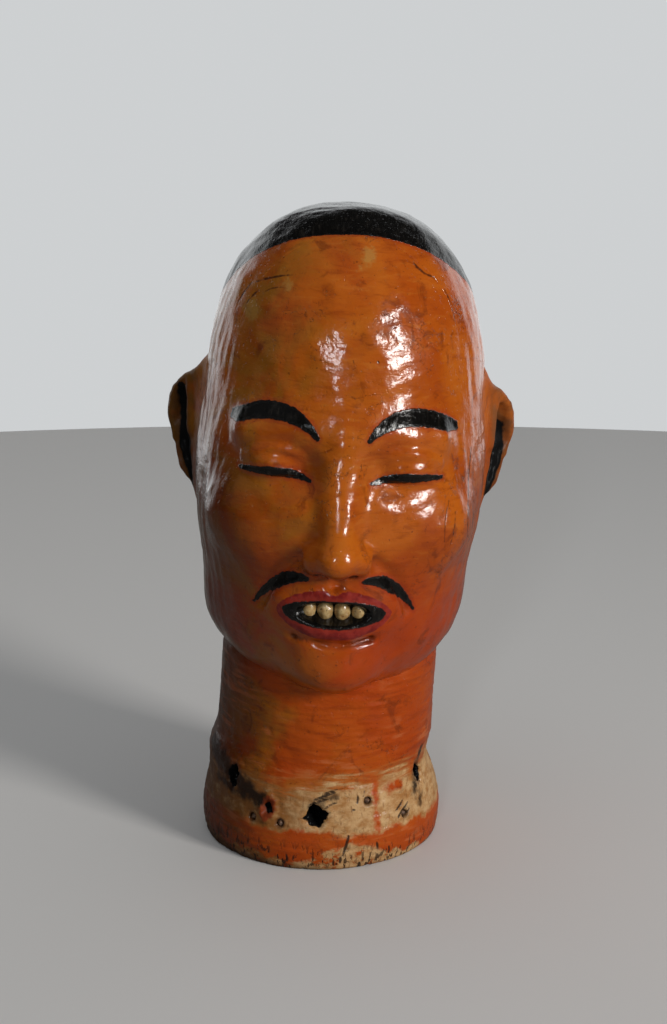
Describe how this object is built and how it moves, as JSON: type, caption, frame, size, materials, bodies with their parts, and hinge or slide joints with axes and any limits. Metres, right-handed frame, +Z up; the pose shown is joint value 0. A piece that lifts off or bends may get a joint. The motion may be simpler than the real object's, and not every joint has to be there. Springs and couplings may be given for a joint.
{
  "type": "glove puppet head",
  "caption": "Carved wooden glove-puppet head: glued-on face, let-in ears, row of peg teeth, and a turned, flared neck with a finger bore.",
  "frame": {"origin": "middle of the bounding box on the plane the neck stands on", "axes": "+Z up, the face looks along -Y, +X is the puppet's own left; the head leans 3 degrees towards +X"},
  "size_m": [0.0822, 0.0882, 0.1499],
  "materials": {
    "painted_flesh": "orange-brown oil paint under aged amber varnish",
    "painted_hair": "glossy black paint over vertical brush grooves",
    "painted_neck": "worn orange paint over pale ground, varnished",
    "painted_ear": "brown paint with a black-painted hollow",
    "painted_teeth": "cream gloss paint",
    "bare_wood": "bare",
    "rusty_iron": "rusted"
  },
  "bodies": {
    "root": {"face": "painted_flesh", "skull_back": "painted_hair", "neck": "painted_neck", "left_ear": "painted_ear", "right_ear": "painted_ear", "tooth_1": "painted_teeth", "tooth_2": "painted_teeth", "tooth_3": "painted_teeth", "tooth_4": "painted_teeth", "face_peg_upper_left": "bare_wood", "face_peg_upper_right": "bare_wood", "face_peg_lower_left": "bare_wood", "face_peg_lower_right": "bare_wood", "neck_pin": "bare_wood", "broken_nail_1": "rusty_iron", "broken_nail_2": "rusty_iron", "broken_nail_3": "rusty_iron", "broken_nail_4": "rusty_iron"}
  },
  "joints": []
}
